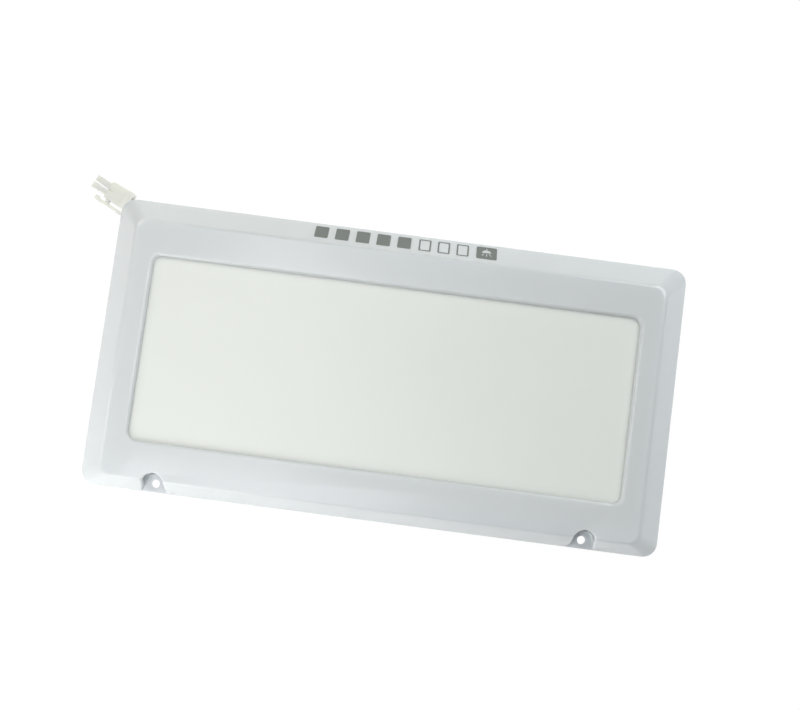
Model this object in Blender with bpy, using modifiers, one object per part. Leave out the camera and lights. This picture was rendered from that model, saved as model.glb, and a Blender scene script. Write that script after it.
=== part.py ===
# Appliance lamp panel: a bezel with an opal window, two LED strips in a rear case, and
# a short two-wire lead that ends in a plug with a rocking latch.
# Metres, +Z up. The panel lies on its back with its window up and its upper edge at +Y.
# z = 0 is the face that the rear case rests on, and the origin is under its middle.
import math

import bmesh
import bpy
from mathutils import Vector

MM = 0.001
GAP = 0.3 * MM  # clearance between neighbours

# Bezel outline and section
PANEL_W = 305 * MM
PANEL_H = 153.3 * MM
RIM_UNDER_Z = 8 * MM
RIM_TOP_Z = 10 * MM
RIM_RADIUS = 7.8 * MM
RIM_EDGE = 0.2 * MM
RIM_LAND = 4 * MM  # flat width of the rim's underside
FACE_Z = 21.4 * MM
FACE_SKIN = 2.2 * MM
FACE_RADIUS = 6.4 * MM
SLOPE_SIDE = 12.1 * MM  # run of the upper, left and right slopes
SLOPE_LOW = 6.2 * MM  # run of the lower slope
SLOPE_SKIN = 2 * MM
CREST_SIDE = 4 * MM  # rounding between slope and face
CREST_TOP = 2.6 * MM
CREST_LOW = 1.9 * MM

# Window
WINDOW_SIDE = 23.8 * MM  # from the panel's edge to the bare window
WINDOW_TOP = 30.2 * MM
WINDOW_LOW = 26.1 * MM
WINDOW_RADIUS = 4.6 * MM
LIP_RUN = 1.85 * MM
LIP_CREST = 2 * MM

# Screw pockets in the lower slope
POCKET_X = 112.7 * MM
POCKET_UP = 4.5 * MM  # from the panel's lower edge to the hole
POCKET_RADIUS = 5.6 * MM
POCKET_FLARE = 7.8 * MM  # half width at the panel's edge
POCKET_WALL = 2 * MM
POCKET_FLOOR_Z = 9.9 * MM
HOLE_RADIUS = 2.2 * MM

# Diffuser and reflector
LENS_THICK = 2 * MM
LENS_OVERLAP = 3.4 * MM  # hidden edge behind the lip
TRAY_THICK = 0.8 * MM
TRAY_FLOOR_Z = 8.4 * MM  # middle of the tray's floor
TRAY_FLOOR_X = 118 * MM
TRAY_FLOOR_TOP = 36 * MM
TRAY_FLOOR_LOW = -40 * MM
TRAY_WINDOW = 7 * MM

# Rear case
CASE_X = 138.5 * MM
CASE_Y = 62.7 * MM
CASE_RADIUS = 5 * MM
CASE_WALL = 1.8 * MM
CASE_TOP_Z = 16 * MM
CASE_FLOOR = 2.6 * MM
WAFFLE_DEPTH = 1 * MM
WAFFLE_RIB = 2.4 * MM
WAFFLE_X = 134 * MM
WAFFLE_Y = 48 * MM
WAFFLE_CELLS = (6, 3)
CASE_SCREWS_TOP = [(-110 * MM, 56 * MM), (0, 56 * MM), (110 * MM, 56 * MM)]
CASE_SCREWS_LOW = [(-98 * MM, -57.4 * MM), (0, -57.4 * MM), (98 * MM, -57.4 * MM)]
COLUMN_RADIUS = 2.9 * MM
COLUMN_Z = 5.3 * MM
COLUMN_BORE = 1.8 * MM
TONGUE_X = 70 * MM
TONGUE_W = 18 * MM
TONGUE_REACH = 11.3 * MM
TONGUE_Z = (3 * MM, 5.4 * MM)
POST_SPOTS = [(x * MM, y * MM) for x in (-75, 75) for y in (-36, -2, 32)]

# LED strips
BOARD_W = 232 * MM
BOARD_H = 18 * MM
BOARD_THICK = 1.6 * MM
BOARD_Z = 5 * MM
BOARD_ROWS = {"upper": 16 * MM, "lower": -20 * MM}
LED_X = [x * MM for x in (-95, -57, -19, 19, 57, 95)]
LED_SIZE = 5 * MM
LED_HIGH = 1.6 * MM
BOARD_SCREW_X = 76 * MM
SEAT = 0.1 * MM  # solder film under the parts on a board

# Lead and grommet
WIRE = 1.6 * MM
GROMMET_X = -20 * MM
GROMMET_Z = 6.2 * MM
WIRE_PITCH = 2.6 * MM

# Where the lead's two wires run between grommet and plug, in millimetres
OUTER_ROUTE = [
    (-19.9, 70.4, 5),
    (-24, 73.4, 3.6),
    (-32, 73.6, 1.6),
    (-44, 72.3, 0.8),
    (-58, 71.2, 0.8),
    (-72, 71.9, 0.8),
    (-86, 72.8, 0.8),
    (-100, 72.2, 0.8),
    (-114, 71.4, 0.8),
    (-126, 72.3, 0.8),
]
INNER_ROUTE = [
    (-22.8, 69.4, 4.9),
    (-26.6, 70.4, 3.4),
    (-33, 70.1, 1.6),
    (-44, 69.4, 0.8),
    (-58, 68.6, 0.8),
    (-72, 69.1, 0.8),
    (-86, 70.1, 0.8),
    (-100, 69.6, 0.8),
    (-114, 68.7, 0.8),
    (-126, 68.9, 0.8),
]

# Plug and its latch
PLUG_REAR = Vector((-150.2 * MM, 75.4 * MM, 0))  # middle of the plug's rear face
PLUG_ANGLE = 154.5  # degrees from +X to the way the prongs point
PLUG_LONG = 13.5 * MM
PLUG_WIDE = 9.8 * MM
PLUG_FLANK = 0.2 * MM  # how much farther out the side away from the latch stands
PLUG_THICK = 5.4 * MM
PRONG_LONG = 9.3 * MM
PRONG_WIDE = 3.3 * MM
PRONG_THICK = 3.6 * MM
PLUG_PITCH = 4.15 * MM
LATCH_THICK = 3.2 * MM
LATCH_INNER = 6.7 * MM  # sides of the lever, from the plug's middle line
LATCH_OUTER = 8.45 * MM
LUG_WIDE = 1.8 * MM
PIVOT = (10.9 * MM, 5.7 * MM)  # latch pivot, along and beside the plug's middle line

ARC = 6  # segments in a quarter turn
ROUND = 20  # sides of a round boss or hole

for old in list(bpy.data.objects):
    bpy.data.objects.remove(old)

parts = bpy.data.collections.new("lamp_panel")
cutters = bpy.data.collections.new("cutters")
for folder in (parts, cutters):
    bpy.context.scene.collection.children.link(folder)


def finish(name, color, roughness, metallic=0.0):
    """A plain Principled material."""
    mat = bpy.data.materials.new(name)
    mat.use_nodes = True
    shader = mat.node_tree.nodes["Principled BSDF"]
    shader.inputs["Base Color"].default_value = (*color, 1)
    shader.inputs["Roughness"].default_value = roughness
    shader.inputs["Metallic"].default_value = metallic
    return mat


BEZEL_GREY = finish("bezel_grey", (0.74, 0.77, 0.78), 0.38)
OPAL = finish("opal", (0.86, 0.88, 0.84), 0.5)
CASE_WHITE = finish("case_white", (0.78, 0.79, 0.77), 0.5)
TRAY_WHITE = finish("tray_white", (0.9, 0.9, 0.9), 0.45)
BOARD_MASK = finish("board_mask", (0.85, 0.87, 0.85), 0.35)
LED_BODY = finish("led_body", (0.88, 0.85, 0.6), 0.4)
CERAMIC = finish("resistor_black", (0.03, 0.03, 0.035), 0.4)
SOLDER = finish("solder", (0.75, 0.75, 0.76), 0.3, 1.0)
STEEL = finish("screw_steel", (0.7, 0.7, 0.68), 0.3, 1.0)
RUBBER = finish("grommet_rubber", (0.06, 0.06, 0.065), 0.7)
WIRE_DARK = finish("wire_dark", (0.03, 0.035, 0.05), 0.45)
WIRE_LIGHT = finish("wire_light", (0.85, 0.85, 0.84), 0.45)
NYLON = finish("natural_nylon", (0.84, 0.84, 0.79), 0.35)
TIN = finish("tinned_brass", (0.8, 0.78, 0.7), 0.3, 1.0)


def place(name, mesh, folder=parts, mat=None):
    """An object of that mesh in one of the two collections."""
    obj = bpy.data.objects.new(name, mesh)
    folder.objects.link(obj)
    if mat:
        mesh.materials.clear()
        mesh.materials.append(mat)
        mesh.shade_smooth()
        mesh.set_sharp_from_angle(angle=math.radians(35))
    if folder is cutters:
        obj.hide_render = True
        obj.display_type = "WIRE"
    return obj


def mesh_from(bm):
    bmesh.ops.recalc_face_normals(bm, faces=bm.faces)
    mesh = bpy.data.meshes.new("shape")
    bm.to_mesh(mesh)
    bm.free()
    return mesh


def bake(obj):
    """The object's evaluated mesh, welded, and the object removed."""
    bpy.context.view_layer.update()
    mesh = bpy.data.meshes.new_from_object(obj.evaluated_get(bpy.context.evaluated_depsgraph_get()))
    mesh.transform(obj.matrix_world)
    bpy.data.objects.remove(obj)
    bm = bmesh.new()
    bm.from_mesh(mesh)
    bmesh.ops.remove_doubles(bm, verts=bm.verts, dist=0.001 * MM)
    bpy.data.meshes.remove(mesh)
    return mesh_from(bm)


def ring(left, right, low, top, radius, z):
    """Points of a rounded rectangle at one height."""
    points = []
    corners = (
        (right - radius, top - radius, 0),
        (left + radius, top - radius, 90),
        (left + radius, low + radius, 180),
        (right - radius, low + radius, 270),
    )
    for x, y, start in corners:
        for i in range(ARC + 1):
            a = math.radians(start + 90 * i / ARC)
            points.append(Vector((x + radius * math.cos(a), y + radius * math.sin(a), z)))
    return points


def loft(rings, capped=True):
    """A skin through rings that have the same number of points."""
    bm = bmesh.new()
    loops = [[bm.verts.new(p) for p in points] for points in rings]
    for below, above in zip(loops, loops[1:]):
        for i in range(len(below)):
            j = (i + 1) % len(below)
            bm.faces.new((below[i], below[j], above[j], above[i]))
    if capped:
        bm.faces.new(loops[0])
        bm.faces.new(loops[-1])
    return mesh_from(bm)


def add_box(bm, low, high):
    size = [b - a for a, b in zip(low, high)]
    made = bmesh.ops.create_cube(bm, size=1)["verts"]
    bmesh.ops.scale(bm, vec=size, verts=made)
    middle = [(a + b) / 2 for a, b in zip(low, high)]
    bmesh.ops.translate(bm, vec=middle, verts=made)


def add_rod(bm, x, y, low, high, radius, sides=ROUND):
    made = bmesh.ops.create_cone(
        bm, cap_ends=True, segments=sides, radius1=radius, radius2=radius, depth=high - low
    )["verts"]
    bmesh.ops.translate(bm, vec=(x, y, (low + high) / 2), verts=made)


def boxes(items):
    bm = bmesh.new()
    for low, high in items:
        add_box(bm, low, high)
    return mesh_from(bm)


def rods(spots, low, high, radius, sides=ROUND):
    bm = bmesh.new()
    for x, y in spots:
        add_rod(bm, x, y, low, high, radius, sides)
    return mesh_from(bm)


def plate(outline, low, high):
    """A flat outline filled and given thickness."""
    curve = bpy.data.curves.new("outline", "CURVE")
    curve.dimensions = "2D"
    curve.fill_mode = "BOTH"
    curve.extrude = (high - low) / 2
    line = curve.splines.new("POLY")
    line.points.add(len(outline) - 1)
    for point, (x, y) in zip(line.points, outline):
        point.co = (x, y, 0, 1)
    line.use_cyclic_u = True
    obj = bpy.data.objects.new("outline", curve)
    cutters.objects.link(obj)
    obj.location.z = (low + high) / 2
    mesh = bake(obj)
    bpy.data.curves.remove(curve)
    return mesh


def turned(profile, sides):
    """A profile of (radius, z) from top to bottom, turned round Z."""
    bm = bmesh.new()
    verts = [bm.verts.new((r, 0, z)) for r, z in profile]
    for a, b in zip(verts, verts[1:]):
        bm.edges.new((a, b))
    mesh = bpy.data.meshes.new("profile")
    bm.to_mesh(mesh)
    bm.free()
    obj = bpy.data.objects.new("profile", mesh)
    cutters.objects.link(obj)
    spin = obj.modifiers.new("turn", "SCREW")
    spin.steps = sides
    spin.render_steps = sides
    spin.use_merge_vertices = True
    spin.merge_threshold = 0.001 * MM
    return bake(obj)


def arc(x, y, radius, start, end, steps=ARC):
    """Points of an arc, in degrees."""
    turn = [math.radians(start + (end - start) * i / steps) for i in range(steps + 1)]
    return [(x + radius * math.cos(a), y + radius * math.sin(a)) for a in turn]


def combine(obj, mesh, operation):
    """Cuts a shape out of the object, or joins it on."""
    other = place(obj.name + "_" + operation.lower(), mesh, cutters)
    step = obj.modifiers.new(operation.lower(), "BOOLEAN")
    step.operation = operation
    step.solver = "EXACT"
    step.object = other
    return other


def cut(obj, mesh):
    return combine(obj, mesh, "DIFFERENCE")


def join(obj, mesh):
    return combine(obj, mesh, "UNION")


def soften(obj, width, segments=1, angle=40):
    bevel = obj.modifiers.new("soften", "BEVEL")
    bevel.width = width
    bevel.segments = segments
    bevel.limit_method = "ANGLE"
    bevel.angle_limit = math.radians(angle)
    return obj


def smooth_line(route, spacing):
    """Evenly spaced points on a smooth curve through the route's points."""
    knots = [Vector(p) for p in route]
    knots = [2 * knots[0] - knots[1], *knots, 2 * knots[-1] - knots[-2]]
    fine = []
    for a, b, c, d in zip(knots, knots[1:], knots[2:], knots[3:]):
        for i in range(24):
            t = i / 24
            fine.append(
                0.5 * (2 * b + (c - a) * t + (2 * a - 5 * b + 4 * c - d) * t**2
                       + (3 * b - a - 3 * c + d) * t**3)
            )
    fine.append(knots[-2])
    length = sum((q - p).length for p, q in zip(fine, fine[1:]))
    count = round(length / spacing)
    points = [fine[0]]
    walked = 0.0
    for p, q in zip(fine, fine[1:]):
        walked += (q - p).length
        while walked >= len(points) * length / count and len(points) < count:
            back = (walked - len(points) * length / count) / (q - p).length
            points.append(q.lerp(p, back))
    points.append(fine[-1])
    return points


def wire(name, route, mat, spacing=2.5 * WIRE):
    """A round wire along a smooth route."""
    points = smooth_line(route, spacing)
    curve = bpy.data.curves.new(name, "CURVE")
    curve.dimensions = "3D"
    curve.bevel_depth = WIRE / 2
    curve.bevel_resolution = 2
    curve.use_fill_caps = True
    line = curve.splines.new("POLY")
    line.points.add(len(points) - 1)
    for point, place_at in zip(line.points, points):
        point.co = (*place_at, 1)
    curve.materials.append(mat)
    obj = bpy.data.objects.new(name, curve)
    parts.objects.link(obj)
    return obj


def slope_run(run, rise, crest, height):
    """How far a slope has run in at a height above its foot, its crest rounded."""
    angle = math.atan2(rise, run)
    if height < rise - crest * (1 - math.cos(angle)):
        return run * height / rise
    over = max(0.0, crest**2 - (height - rise + crest) ** 2)
    return run + crest * math.tan(angle / 2) - math.sqrt(over)


def crest_heights(run, rise, crest, steps=3):
    """Heights on a slope's rounded crest, lowest first."""
    angle = math.atan2(rise, run)
    return [rise - crest * (1 - math.cos(angle * i / steps)) for i in range(steps, -1, -1)]


def inset_ring(side, top, low, radius, z):
    """A ring of the panel's outline, brought in by its own amount on each side."""
    return ring(
        -PANEL_W / 2 + side, PANEL_W / 2 - side, -PANEL_H / 2 + low, PANEL_H / 2 - top, radius, z
    )


def outer_shape():
    """The bezel's outside, solid, from the rim's underside to the face."""
    rise = FACE_Z - RIM_TOP_Z
    rings = [
        inset_ring(0, 0, 0, RIM_RADIUS, RIM_UNDER_Z),
        inset_ring(0, 0, 0, RIM_RADIUS, RIM_TOP_Z - RIM_EDGE),
    ]
    heights = {RIM_EDGE}
    for run, crest in ((SLOPE_SIDE, CREST_SIDE), (SLOPE_LOW, CREST_LOW)):
        heights.update(crest_heights(run, rise, crest))
    for h in sorted(heights):
        radius = RIM_RADIUS + (FACE_RADIUS - RIM_RADIUS) * h / rise
        side = slope_run(SLOPE_SIDE, rise, CREST_SIDE, h)
        top = slope_run(SLOPE_SIDE, rise, CREST_TOP, h)
        low = slope_run(SLOPE_LOW, rise, CREST_LOW, h)
        rings.append(inset_ring(side, top, low, radius, RIM_TOP_Z + h))
    return loft(rings)


def cavity_shape():
    """The hollow behind the bezel's face and slopes."""
    rise = FACE_Z - RIM_TOP_Z

    def inner(run, z):
        skin = SLOPE_SKIN / math.sin(math.atan2(rise, run))
        return max(RIM_LAND, run * (z - RIM_TOP_Z) / rise + skin)

    def land_z(run):
        skin = SLOPE_SKIN / math.sin(math.atan2(rise, run))
        return RIM_TOP_Z + (RIM_LAND - skin) * rise / run

    rings = []
    for z in (RIM_UNDER_Z - MM, land_z(SLOPE_SIDE), land_z(SLOPE_LOW), FACE_Z - FACE_SKIN):
        side = inner(SLOPE_SIDE, z)
        rings.append(inset_ring(side, side, inner(SLOPE_LOW, z), 4 * MM, z))
    return loft(rings)


def window_shape():
    """The space of the window and of its rounded lip."""
    foot = FACE_Z - FACE_SKIN
    rings = [inset_ring(WINDOW_SIDE, WINDOW_TOP, WINDOW_LOW, WINDOW_RADIUS, foot - MM)]
    for h in [0.0, *crest_heights(LIP_RUN, FACE_SKIN, LIP_CREST)]:
        out = slope_run(LIP_RUN, FACE_SKIN, LIP_CREST, h)
        rings.append(
            inset_ring(
                WINDOW_SIDE - out, WINDOW_TOP - out, WINDOW_LOW - out, WINDOW_RADIUS + out, foot + h
            )
        )
    rings.append([p + Vector((0, 0, MM)) for p in rings[-1]])
    return loft(rings)


def pocket_outline(x, wall=0.0):
    """An arch round a screw hole that opens out to the panel's lower edge."""
    y = -PANEL_H / 2 + POCKET_UP
    past = -PANEL_H / 2 - 2 * MM
    flare = POCKET_FLARE + wall
    arch = arc(x, y, POCKET_RADIUS + wall, 0, 180, 2 * ARC)
    return [*arch, (x - flare, past), (x + flare, past)]


def bezel():
    obj = place("bezel_frame", outer_shape(), mat=BEZEL_GREY)
    hollow = cut(obj, cavity_shape())
    for x in (-POCKET_X, POCKET_X):
        cut(hollow, plate(pocket_outline(x, POCKET_WALL), RIM_UNDER_Z - 2 * MM, FACE_Z + MM))
    cut(obj, window_shape())
    for x in (-POCKET_X, POCKET_X):
        cut(obj, plate(pocket_outline(x), POCKET_FLOOR_Z, FACE_Z + MM))
    spots = [(x, -PANEL_H / 2 + POCKET_UP) for x in (-POCKET_X, POCKET_X)]
    cut(obj, rods(spots, RIM_UNDER_Z - MM, POCKET_FLOOR_Z + MM, HOLE_RADIUS, 24))
    spots = CASE_SCREWS_TOP + CASE_SCREWS_LOW
    join(obj, rods(spots, COLUMN_Z, FACE_Z - FACE_SKIN / 2, COLUMN_RADIUS))
    cut(obj, rods(spots, COLUMN_Z - MM, COLUMN_Z + 9 * MM, COLUMN_BORE, 16))
    return obj


def diffuser():
    top = FACE_Z - FACE_SKIN - GAP
    out = LENS_OVERLAP
    rings = [
        inset_ring(WINDOW_SIDE - out, WINDOW_TOP - out, WINDOW_LOW - out, 6 * MM, z)
        for z in (top - LENS_THICK, top)
    ]
    return soften(place("diffuser_lens", loft(rings), mat=OPAL), 0.3 * MM)


def reflector():
    """A thin white tray: its rim lies behind the diffuser, its floor over the boards."""
    rim_z = FACE_Z - FACE_SKIN - 2 * GAP - LENS_THICK - TRAY_THICK / 2
    out = LENS_OVERLAP
    mouth = -0.6 * MM
    rings = [
        inset_ring(WINDOW_SIDE - out, WINDOW_TOP - out, WINDOW_LOW - out, 6 * MM, rim_z),
        inset_ring(WINDOW_SIDE + mouth, WINDOW_TOP + mouth, WINDOW_LOW + mouth, 4 * MM, rim_z),
        ring(
            -TRAY_FLOOR_X, TRAY_FLOOR_X, TRAY_FLOOR_LOW, TRAY_FLOOR_TOP, 6 * MM, TRAY_FLOOR_Z
        ),
    ]
    bm = bmesh.new()
    bm.from_mesh(loft(rings, capped=False))
    bm.faces.new([v for v in bm.verts if abs(v.co.z - TRAY_FLOOR_Z) < 0.01 * MM])
    obj = place("reflector_tray", mesh_from(bm), mat=TRAY_WHITE)
    solid = obj.modifiers.new("thickness", "SOLIDIFY")
    solid.thickness = TRAY_THICK
    solid.offset = 0
    half = TRAY_WINDOW / 2
    low, high = TRAY_FLOOR_Z - 2 * MM, TRAY_FLOOR_Z + 2 * MM
    cut(
        obj,
        boxes(
            ((x - half, y - half, low), (x + half, y + half, high))
            for x in LED_X
            for y in BOARD_ROWS.values()
        ),
    )
    spots = [(x, y) for x in (-BOARD_SCREW_X, BOARD_SCREW_X) for y in BOARD_ROWS.values()]
    cut(obj, rods(spots, low, high, half, 16))
    return obj


def board(name, y):
    half = Vector((BOARD_W / 2, BOARD_H / 2, 0))
    low, high = Vector((0, y, BOARD_Z)) - half, Vector((0, y, BOARD_Z + BOARD_THICK)) + half
    obj = place(name, boxes([(low, high)]), mat=BOARD_MASK)
    spots = [(-BOARD_SCREW_X, y), (BOARD_SCREW_X, y)]
    cut(obj, rods(spots, BOARD_Z - MM, BOARD_Z + BOARD_THICK + MM, 1.5 * MM, 16))
    return obj


def led_mesh():
    """A square package with a round well for the phosphor."""
    half = LED_SIZE / 2
    obj = place("led", boxes([((-half, -half, 0), (half, half, LED_HIGH))]), mat=LED_BODY)
    well = [(0, 2 * LED_HIGH), (0.42 * LED_SIZE, 2 * LED_HIGH), (0.42 * LED_SIZE, LED_HIGH)]
    cut(obj, turned([*well, (0.34 * LED_SIZE, 0.75 * LED_HIGH), (0, 0.75 * LED_HIGH)], 16))
    return bake(obj)


def copies(mesh, mat, names, spots):
    for name, spot in zip(names, spots):
        place(name, mesh, mat=mat).location = spot


def screw_mesh(head_radius, head_high, shank_radius, shank_long):
    """A pan head with a cross recess, its seat at z = 0 and its shank downwards."""
    profile = [
        (0, head_high),
        (0.62 * head_radius, 0.9 * head_high),
        (0.92 * head_radius, 0.6 * head_high),
        (head_radius, 0.2 * head_high),
        (head_radius, 0),
        (shank_radius, 0),
        (shank_radius, -shank_long + shank_radius),
        (0, -shank_long),
    ]
    obj = place("screw", turned(profile, 16), mat=STEEL)
    long, thick, deep = 0.55 * head_radius, 0.13 * head_radius, 0.5 * head_high
    for x, y in ((long, thick), (thick, long)):
        cut(obj, boxes([((-x, -y, head_high - deep), (x, y, 2 * head_high))]))
    return bake(obj)


def case_shape():
    """The rear case's tray with its ribbed floor."""
    rings = [
        ring(-CASE_X, CASE_X, -CASE_Y, CASE_Y, CASE_RADIUS, z) for z in (0, CASE_TOP_Z)
    ]
    return loft(rings)


def waffle():
    """Shallow cells between the ribs of the case's underside."""
    across, up = WAFFLE_CELLS
    cell_x = (2 * WAFFLE_X + WAFFLE_RIB) / across
    cell_y = (2 * WAFFLE_Y + WAFFLE_RIB) / up
    items = []
    for i in range(across):
        for j in range(up):
            x = -WAFFLE_X + i * cell_x
            y = -WAFFLE_Y + j * cell_y
            high = (x + cell_x - WAFFLE_RIB, y + cell_y - WAFFLE_RIB, WAFFLE_DEPTH)
            items.append(((x, y, -MM), high))
    return boxes(items)


def rear_case():
    obj = place("rear_case", case_shape(), mat=CASE_WHITE)
    x, y = CASE_X - CASE_WALL, CASE_Y - CASE_WALL
    inside = [ring(-x, x, -y, y, CASE_RADIUS - CASE_WALL, z) for z in (CASE_FLOOR, 2 * CASE_TOP_Z)]
    cut(obj, loft(inside))
    cut(obj, waffle())
    spots = CASE_SCREWS_TOP + CASE_SCREWS_LOW
    join(obj, rods(spots, CASE_FLOOR - MM, COLUMN_Z - GAP, 4 * MM))
    cut(obj, rods(spots, -MM, 3.2 * MM, 3.1 * MM))
    cut(obj, rods(spots, 2 * MM, COLUMN_Z + MM, COLUMN_BORE, 16))
    seats = [(sx, sy) for sx in (-BOARD_SCREW_X, BOARD_SCREW_X) for sy in BOARD_ROWS.values()]
    join(obj, rods(seats, CASE_FLOOR - 0.5 * MM, BOARD_Z - GAP, 3 * MM))
    cut(obj, rods(seats, 1.7 * MM, BOARD_Z + MM, 1.4 * MM, 16))
    join(obj, rods(POST_SPOTS, CASE_FLOOR - 0.5 * MM, TRAY_FLOOR_Z - TRAY_THICK / 2 - GAP, 2 * MM))
    for x in (-TONGUE_X, TONGUE_X):
        join(obj, tongue_shape(x))
    low = (GROMMET_X - 4.3 * MM, CASE_Y - 3 * MM, GROMMET_Z - 2.5 * MM)
    high = (GROMMET_X + 4.3 * MM, CASE_Y + MM, GROMMET_Z + 2.5 * MM)
    cut(obj, boxes([(low, high)]))
    return obj


def tongue_shape(x):
    """A flat tongue with rounded corners that hooks behind the wall the panel closes."""
    low, high = x - TONGUE_W / 2, x + TONGUE_W / 2
    tip = CASE_Y + TONGUE_REACH
    radius = 4 * MM
    outline = [
        (low, CASE_Y - MM),
        (high, CASE_Y - MM),
        *arc(high - radius, tip - radius, radius, 0, 90),
        *arc(low + radius, tip - radius, radius, 90, 180),
    ]
    return plate(outline, *TONGUE_Z)


def grommet():
    """A rubber bush with a flange on each side of the case's wall."""
    inner = CASE_Y - CASE_WALL - GAP
    outer = CASE_Y + GAP

    def block(half_w, half_h, y0, y1):
        low = (GROMMET_X - half_w, y0, GROMMET_Z - half_h)
        return low, (GROMMET_X + half_w, y1, GROMMET_Z + half_h)

    flange = 1.4 * MM
    obj = place("wire_grommet", boxes([block(4 * MM, 2.2 * MM, inner - MM, outer + MM)]), mat=RUBBER)
    for y0, y1 in ((inner - flange, inner), (outer, outer + flange)):
        join(obj, boxes([block(5.3 * MM, 3.1 * MM, y0, y1)]))
    for side in (-1, 1):
        hole = rods([(0, 0)], inner - 3 * MM, outer + 3 * MM, WIRE / 2 + GAP, 12)
        tool = cut(obj, hole)
        tool.rotation_euler.x = math.radians(-90)
        tool.location = (GROMMET_X + side * WIRE_PITCH / 2, 0, GROMMET_Z)
    return obj


def plug_frame(obj):
    """Turns and moves a shape made along +X onto the plug's place."""
    obj.location = PLUG_REAR
    obj.rotation_euler.z = math.radians(PLUG_ANGLE)
    return obj


def plug_point(along, beside, z):
    """A point of the plug's own frame, in the panel's frame."""
    a = math.radians(PLUG_ANGLE)
    x = PLUG_REAR.x + along * math.cos(a) - beside * math.sin(a)
    y = PLUG_REAR.y + along * math.sin(a) + beside * math.cos(a)
    return Vector((x, y, z))


def plug():
    """Housing of the two-way plug, its prongs along its own +X and its latch at +Y."""
    wide, mid = PLUG_WIDE / 2, PLUG_THICK / 2
    flank = -wide - PLUG_FLANK
    outline = [
        (0, wide),
        (0, flank - 0.4 * MM),
        (2.2 * MM, flank - 0.4 * MM),
        (5 * MM, flank - 0.2 * MM),
        *arc(PLUG_LONG - 0.7 * MM, flank + 0.7 * MM, 0.7 * MM, 270, 360, 3),
        (PLUG_LONG, wide),
    ]
    obj = plug_frame(place("plug_housing", plate(outline, 0, PLUG_THICK), mat=NYLON))
    lug = (PIVOT[0] - LUG_WIDE / 2, wide - MM, mid - LATCH_THICK / 2)
    lug_end = (PIVOT[0] + LUG_WIDE / 2, PIVOT[1] - 0.15 * MM, mid + LATCH_THICK / 2)
    added, holes, wire_holes = [(lug, lug_end)], [], []
    for side in (-1, 1):
        y = side * PLUG_PITCH / 2
        half, high = PRONG_WIDE / 2, PRONG_THICK / 2
        tip = PLUG_LONG + PRONG_LONG
        added.append(
            ((PLUG_LONG - MM, y - half, mid - high), (tip, y + half, mid + high))
        )
        holes.append(((4 * MM, y - MM, mid - 1.2 * MM), (tip + MM, y + MM, mid + 1.2 * MM)))
        reach = WIRE / 2 + GAP
        wire_holes.append(((-MM, y - reach, mid - reach), (5 * MM, y + reach, mid + reach)))
    for shape in added:
        plug_frame(join(obj, boxes([shape])))
    for shapes in (holes, wire_holes):
        plug_frame(cut(obj, boxes(shapes)))
    for side, name in ((-1, "plug_terminal_1"), (1, "plug_terminal_2")):
        profile = [
            (0, 21.7 * MM),
            (0.35 * MM, 21.3 * MM),
            (0.55 * MM, 20 * MM),
            (0.55 * MM, 12 * MM),
            (0.7 * MM, 11.5 * MM),
            (0.7 * MM, 5.4 * MM),
            (0, 5.4 * MM),
        ]
        pin = place(name, turned(profile, 12), mat=TIN)
        pin.location = plug_point(0, side * PLUG_PITCH / 2, mid)
        pin.rotation_euler = (0, math.radians(90), math.radians(PLUG_ANGLE))
    return obj


def latch():
    """The rocking lever, its origin on its pivot: a hook ahead and a press tab behind."""
    inner, outer = LATCH_INNER, LATCH_OUTER
    neck = LUG_WIDE / 2 + 0.1 * MM
    foot = PIVOT[1] + 0.15 * MM
    outline = [
        (MM, outer - 0.45 * MM),
        (7 * MM, outer - 0.1 * MM),
        *arc(16.7 * MM, outer - 1.4 * MM, 1.4 * MM, 90, 0, 4),
        *arc(17.1 * MM, inner + 0.15 * MM, MM, 0, -90, 4),
        (16.3 * MM, inner - 0.85 * MM),
        (15.9 * MM, inner),
        (PIVOT[0] + neck, inner),
        (PIVOT[0] + neck - 0.3 * MM, foot),
        (PIVOT[0] - neck + 0.3 * MM, foot),
        (PIVOT[0] - neck, inner),
        (7 * MM, inner),
        (MM, inner - 0.1 * MM),
    ]
    local = [(x - PIVOT[0], y - PIVOT[1]) for x, y in outline]
    mid = PLUG_THICK / 2
    mesh = plate(local, mid - LATCH_THICK / 2, mid + LATCH_THICK / 2)
    obj = place("plug_latch", mesh, mat=NYLON)
    obj.location = plug_point(*PIVOT, 0)
    obj.rotation_euler.z = math.radians(PLUG_ANGLE)
    return obj


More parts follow.
